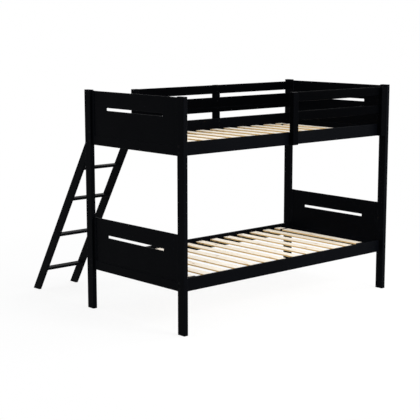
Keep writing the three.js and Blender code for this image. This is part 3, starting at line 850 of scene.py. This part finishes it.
# %% Slat rows
SLAT_COUNT, SLAT_ROUND, SLAT_SCREW = 13, 0.002, 0.009
slat_nodes = {level: [f"{level}_slat_{number:02d}" for number in range(1, SLAT_COUNT + 1)]
              for level in LEVELS}
slat_screws = {level: [] for level in LEVELS}
for seed, level in enumerate(LEVELS, 3):
    slats = [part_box(node) for node in slat_nodes[level]]
    low, high = slats[0]
    pitch = slats[1][0].x - low.x
    item = link_new(f"{level}_slats", bpy.data.meshes.new(f"{level}_slats"))
    run_tree(item, slat_tree, {
        "Count": SLAT_COUNT, "Pitch": pitch,
        "Last Pull": slats[-1][0].x - slats[-2][0].x - pitch,
        "First": (middle((low.x, high.x)), low.y, middle((low.z, high.z))),
        "Width": high.x - low.x, "Thickness": high.z - low.z, "Length": high.y - low.y,
        "Rounding": SLAT_ROUND, "Seed": seed, "Finish": pine,
    })
    hand_over(shade_flat_faces(item), f"{level}_bed", "pine", *slat_nodes[level])
    for low, high in slats:
        slat_screws[level] += [((middle((low.x, high.x)), y, high.z), (0, 0, 1))
                               for y in (low.y + SLAT_SCREW, high.y - SLAT_SCREW)]
    print(level, "slat box:", [round(v, 4) for v in item.dimensions])

# %% [markdown]
# ## Slat tapes
# Two woven tapes keep the slats at their pitch. A tape runs under the slats, comes up beside each
# end slat and lies over it, and a black screw holds its end. It follows a path, so it is a tree too:
# the corners come in as loose edges, become a curve with eased bends, and carry a thin section.

# %% Woven tape
def woven_tape(name):
    finish, tree, shader, place = new_finish(name)
    along, across = (add(tree, "ShaderNodeTexWave", {
        "Vector": place, "Scale": scale, "Distortion": 0.3,
    }, bands_direction=way).outputs["Fac"] for way, scale in (("X", 210.0), ("Y", 260.0)))
    weave = maths(tree, "MULTIPLY", along, across)
    set_inputs(tree, shader, {
        "Base Color": blend_colours(tree, weave, (0.004, 0.004, 0.005, 1), (0.020, 0.020, 0.023, 1)),
        "Roughness": remap(tree, weave, 0.0, 1.0, 0.95, 0.75),
        "Specular IOR Level": 0.2,
        "Normal": bump(tree, weave, 0.6, 0.0003),
    })
    return finish

# %% Tape tree
TAPE_WIDTH, TAPE_THICKNESS, TAPE_BEND, TAPE_ROUNDING = 0.022, 0.001, 0.0025, 0.0004
BEND_STEPS = 4
tape_tree, given, result = new_tree("slat_tape", BOARD_INPUTS + [("Bend", "NodeSocketFloat")])
corners = add(tape_tree, "GeometryNodeMeshToCurve", {"Mesh": given.outputs["Geometry"]}).outputs["Curve"]
bent = add(tape_tree, "GeometryNodeFilletCurve", {
    "Curve": corners, "Radius": given.outputs["Bend"], "Count": BEND_STEPS,
}, mode="POLY").outputs["Curve"]
swept = add(tape_tree, "GeometryNodeCurveToMesh", {
    "Curve": bent, "Profile Curve": board_section(tape_tree, given), "Fill Caps": True,
}).outputs["Mesh"]
end_tree(tape_tree, given, result, swept)

# %% Tapes
TAPE_FROM_FRONT, TAPE_FROM_REAR, TAPE_SHORT, TAPE_SCREW = 0.045, 0.078, 0.004, 0.014
TAPE_LIFT = TAPE_THICKNESS / 2 + FIT
tape_finish = woven_tape("woven_tape")
end_screws = {level: [] for level in LEVELS}
for level in LEVELS:
    first, last = (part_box(slat_nodes[level][place]) for place in (0, -1))
    over, under = first[1].z + TAPE_LIFT, first[0].z - TAPE_LIFT
    near, far = first[1].x + TAPE_LIFT, last[0].x - TAPE_LIFT
    corners = [(first[0].x + TAPE_SHORT, over), (near, over), (near, under),
               (far, under), (far, over), (last[1].x - TAPE_SHORT, over)]
    points, edges = [], []
    for middle_line in (first[0].y + TAPE_FROM_FRONT, first[1].y - TAPE_FROM_REAR):
        edges += [(len(points) + i, len(points) + i + 1) for i in range(len(corners) - 1)]
        points += [(x, middle_line, z) for x, z in corners]
        end_screws[level] += [((x, middle_line, over + TAPE_THICKNESS / 2), (0, 0, 1))
                              for x in (first[0].x + TAPE_SCREW, last[1].x - TAPE_SCREW)]
    mesh = bpy.data.meshes.new(f"{level}_slat_tapes")
    mesh.from_pydata(points, edges, [])
    item = run_tree(link_new(f"{level}_slat_tapes", mesh), tape_tree, {
        "Width": TAPE_WIDTH, "Thickness": TAPE_THICKNESS, "Rounding": TAPE_ROUNDING,
        "Bend": TAPE_BEND, "Finish": tape_finish,
    })
    print(level, "tapes:", [round(v, 4) for v in item.dimensions])
    hand_over(shade_flat_faces(item), f"{level}_bed", "painted_wood")

# %% [markdown]
# ## Bolts, screws and pins
# A head is turned once as a profile, its drive is cut out of it, and one tree sets a copy at every
# spot, looking outwards and twisted by a random amount. The spots come in as loose points that
# carry their direction in an attribute.

# %% Turning and drives
def turned(name, profile, sides=40):
    """A solid of revolution from (radius, height) pairs, bottom to top."""
    shell = bmesh.new()
    rings = []
    for radius, height in profile:
        turns = [2 * math.pi * i / sides for i in range(sides if radius else 1)]
        rings.append([shell.verts.new((radius * math.cos(turn), radius * math.sin(turn), height))
                      for turn in turns])
    for lower, upper in zip(rings, rings[1:]):
        for i in range(sides):
            j = (i + 1) % sides
            corners = [lower[i % len(lower)], lower[j % len(lower)],
                       upper[j % len(upper)], upper[i % len(upper)]]
            shell.faces.new(list(dict.fromkeys(corners)))
    bmesh.ops.recalc_face_normals(shell, faces=shell.faces)
    return link_shell(name, shell)


def hex_cutter(across, floor, top):
    shell = bmesh.new()
    radius = across / math.sqrt(3)
    place = Matrix.Translation((0, 0, (floor + top) / 2))
    bmesh.ops.create_cone(shell, cap_ends=True, segments=6, radius1=radius, radius2=radius,
                          depth=top - floor, matrix=place)
    return link_shell("hex", shell)


def cross_cutters(reach, half_width, floor, top):
    return [box_cutter((-x, -y, floor), (x, y, top))
            for x, y in ((reach, half_width), (half_width, reach))]

# %% Heads
bolt_head = cut_away(turned("bolt_head", [
    (0, -0.0026), (0.0080, -0.0026), (0.0083, -0.0023), (0.0083, -0.0013), (0.0078, -0.0007),
    (0.0060, -0.0004), (0, -0.0004),
]), [hex_cutter(0.005, -0.0022, 0.001)])
wood_screw = cut_away(turned("wood_screw", [
    (0, -0.0016), (0.0026, -0.0016), (0.0040, -0.0002), (0.0040, 0.0), (0.0034, 0.0002), (0, 0.0003),
], 24), cross_cutters(0.0022, 0.0004, -0.0012, 0.001))
tread_head = cut_away(turned("tread_head", [
    (0, -0.0014), (0.0054, -0.0014), (0.0054, -0.0008), (0.0048, -0.0003), (0.0030, -0.0001), (0, -0.0001),
], 32), [hex_cutter(0.004, -0.0012, 0.001)])
pan_head = cut_away(turned("pan_head", [
    (0, -0.0006), (0.0060, -0.0006), (0.0060, 0.0006), (0.0053, 0.0017), (0.0034, 0.0025), (0, 0.0028),
], 32), cross_cutters(0.0030, 0.0006, 0.0008, 0.005))
pin_bar = turned("pin_bar", [
    (0, -0.006), (0.006, -0.006), (0.006, 0.036), (0.0055, 0.0371), (0.004, 0.038), (0, 0.038),
], 32)
heads = [bolt_head, wood_screw, tread_head, pan_head, pin_bar]
for head in heads:
    shade_flat_faces(head)
    print(head.name, len(head.data.polygons), "faces")

# %% Head tree
head_tree, given, result = new_tree("heads_on_spots", [
    ("Head", "NodeSocketObject"), ("Seed", "NodeSocketInt"), ("Finish", "NodeSocketMaterial"),
])
outward = add(head_tree, "GeometryNodeInputNamedAttribute", {"Name": "outward"}, data_type="FLOAT_VECTOR")
facing = add(head_tree, "FunctionNodeAlignRotationToVector", {"Vector": outward.outputs[0]}, axis="Z")
chance = add(head_tree, "FunctionNodeRandomValue", {
    2: 0.0, 3: 2 * math.pi, "Seed": given.outputs["Seed"],
}, data_type="FLOAT").outputs[1]
spin = add(head_tree, "ShaderNodeCombineXYZ", {"Z": chance}).outputs[0]
spin = add(head_tree, "FunctionNodeEulerToRotation", {0: spin}).outputs[0]
turn = add(head_tree, "FunctionNodeRotateRotation", {
    0: facing.outputs[0], 1: spin,
}, rotation_space="LOCAL").outputs[0]
shape = add(head_tree, "GeometryNodeObjectInfo", {0: given.outputs["Head"]}).outputs["Geometry"]
copies = add(head_tree, "GeometryNodeInstanceOnPoints", {
    "Points": given.outputs["Geometry"], "Instance": shape, "Rotation": turn,
}).outputs[0]
end_tree(head_tree, given, result, copies)

# %% Set every head
def set_heads(name, spots, head, finish, body, slot, seed):
    mesh = bpy.data.meshes.new(name)
    mesh.from_pydata([tuple(point) for point, _ in spots], [], [])
    directions = mesh.attributes.new("outward", "FLOAT_VECTOR", "POINT")
    for store, (_, direction) in zip(directions.data, spots):
        store.vector = direction
    item = link_new(name, mesh)
    run_tree(item, head_tree, {"Head": head, "Seed": seed, "Finish": finish})
    hand_over(item, body, slot)


bolts = {level: [spot for node, spots in bed_bolts.items() if node.startswith(level) for spot in spots]
         for level in LEVELS}
bolts["upper"] += [spot for spots in guard_bolts.values() for spot in spots]
tread_spots = [spot for spots in tread_screws.values() for spot in spots]
pin_spots = []
for side in SIDES:
    for end in ENDS:
        low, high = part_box(f"lower_post_{side}_{end}")
        foot = (middle((low.x, high.x)), middle((low.y, high.y)), joint_height - LIFT_GAP)
        pin_spots.append((foot, (0, 0, 1)))
for name, spots, head, finish, body, seed in (
    ("lower_bed_bolts", bolts["lower"], bolt_head, black_bolt, "lower_bed", 1),
    ("upper_bed_bolts", bolts["upper"], bolt_head, black_bolt, "upper_bed", 2),
    ("guard_screws", lap_screws, wood_screw, black_bolt, "upper_bed", 3),
    ("tread_screws", tread_spots, tread_head, black_bolt, "ladder", 4),
    ("hook_screws", hook_screws, wood_screw, black_bolt, "ladder", 5),
    ("lower_slat_screws", slat_screws["lower"], wood_screw, zinc_screw, "lower_bed", 6),
    ("upper_slat_screws", slat_screws["upper"], wood_screw, zinc_screw, "upper_bed", 7),
    ("lower_end_screws", end_screws["lower"], pan_head, black_bolt, "lower_bed", 9),
    ("upper_end_screws", end_screws["upper"], pan_head, black_bolt, "upper_bed", 10),
    ("corner_pins", pin_spots, pin_bar, bright_bar, "lower_bed", 8),
):
    set_heads(name, spots, head, finish, body, "hook_steel", seed)
for head in heads:
    bpy.data.objects.remove(head)

# %% [markdown]
# ## Floor and light
# The bed stands on a plain white floor. Far from the bed the floor turns into plain white, so no
# horizon shows, and close to the bed it keeps a soft shadow. The world is white to the camera and
# in reflections, and weaker as a lamp, so that large soft lamps can model the shapes.

# %% Floor
NEAR_FLOOR, FAR_FLOOR, NEAR_SHARE = 1.2, 3.0, 0.86
FLOOR_REACH, FLOOR_GAP = 30.0, 0.0005


def seen_or_mirrored(tree):
    """1 for what the camera sees, itself or in a glossy or clear surface, and 0 for light."""
    path = add(tree, "ShaderNodeLightPath").outputs
    seen = maths(tree, "MAXIMUM", path["Is Camera Ray"], path["Is Glossy Ray"])
    return maths(tree, "MAXIMUM", seen, path["Is Transmission Ray"])


def studio_floor(name):
    finish, tree, shader, place = new_finish(name)
    away = add(tree, "ShaderNodeVectorMath", {0: place}, operation="LENGTH").outputs["Value"]
    speck = noise(tree, place, 60.0, 3.0)
    set_inputs(tree, shader, {
        "Base Color": blend_colours(tree, speck, (0.90, 0.90, 0.90, 1), (0.93, 0.93, 0.93, 1)),
        "Roughness": 0.9,
        "Specular IOR Level": 0.1,
    })
    white = add(tree, "ShaderNodeEmission", {"Color": (1, 1, 1, 1), "Strength": 1.0}).outputs[0]
    far = remap(tree, away, NEAR_FLOOR, FAR_FLOOR, NEAR_SHARE, 1.0)
    share = maths(tree, "MULTIPLY", far, seen_or_mirrored(tree))
    mixed = add(tree, "ShaderNodeMixShader", {0: share, 1: shader.outputs[0], 2: white}).outputs[0]
    tree.links.new(mixed, tree.nodes["Material Output"].inputs["Surface"])
    return finish


floor_shape = bmesh.new()
bmesh.ops.create_grid(floor_shape, x_segments=1, y_segments=1, size=FLOOR_REACH)
floor = link_shell("floor", floor_shape, studio_floor("studio_floor"))
floor.location.z = cad_low.z - FLOOR_GAP
floor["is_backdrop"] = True
print("floor height:", round(floor.location.z, 4))

# %% World and lamps
AMBIENT = 0.61
world = bpy.data.worlds.new("studio")
bpy.context.scene.world = world
world.use_nodes = True
sky = world.node_tree
sky.nodes.clear()
ambient = add(sky, "ShaderNodeBackground", {"Color": (0.97, 0.985, 1, 1), "Strength": AMBIENT}).outputs[0]
plain = add(sky, "ShaderNodeBackground", {"Color": (1, 1, 1, 1), "Strength": 1.0}).outputs[0]
mixed = add(sky, "ShaderNodeMixShader", {0: seen_or_mirrored(sky), 1: ambient, 2: plain}).outputs[0]
sky.links.new(mixed, add(sky, "ShaderNodeOutputWorld").inputs["Surface"])


def soft_lamp(name, place, aim, size, power):
    lamp = bpy.data.lights.new(name, "AREA")
    lamp.shape = "RECTANGLE"
    lamp.size, lamp.size_y = size
    lamp.energy = power
    item = bpy.data.objects.new(name, lamp)
    item.location = place
    item.rotation_euler = (Vector(aim) - Vector(place)).to_track_quat("-Z", "Y").to_euler()
    bpy.context.scene.collection.objects.link(item)


soft_lamp("key", (0.9, -6.0, 3.2), (0.1, -0.3, 0.6), (3.0, 2.4), 350)
soft_lamp("overhead", (0.0, 0.0, 4.6), (0, 0, 0.6), (4.0, 4.0), 52)
soft_lamp("fill", (4.6, -3.0, 3.0), (0, 0, 0.6), (2.6, 2.6), 100)

# %% [markdown]
# ## Finish
# Colours are shown as they are, without a film look. The dressed bed's box is printed, to set
# beside the CAD box.

# %% Finish
bpy.context.scene.view_settings.view_transform = "Standard"
low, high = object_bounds()
print("visual box, metres:", [round(b - a, 4) for a, b in zip(low, high)])
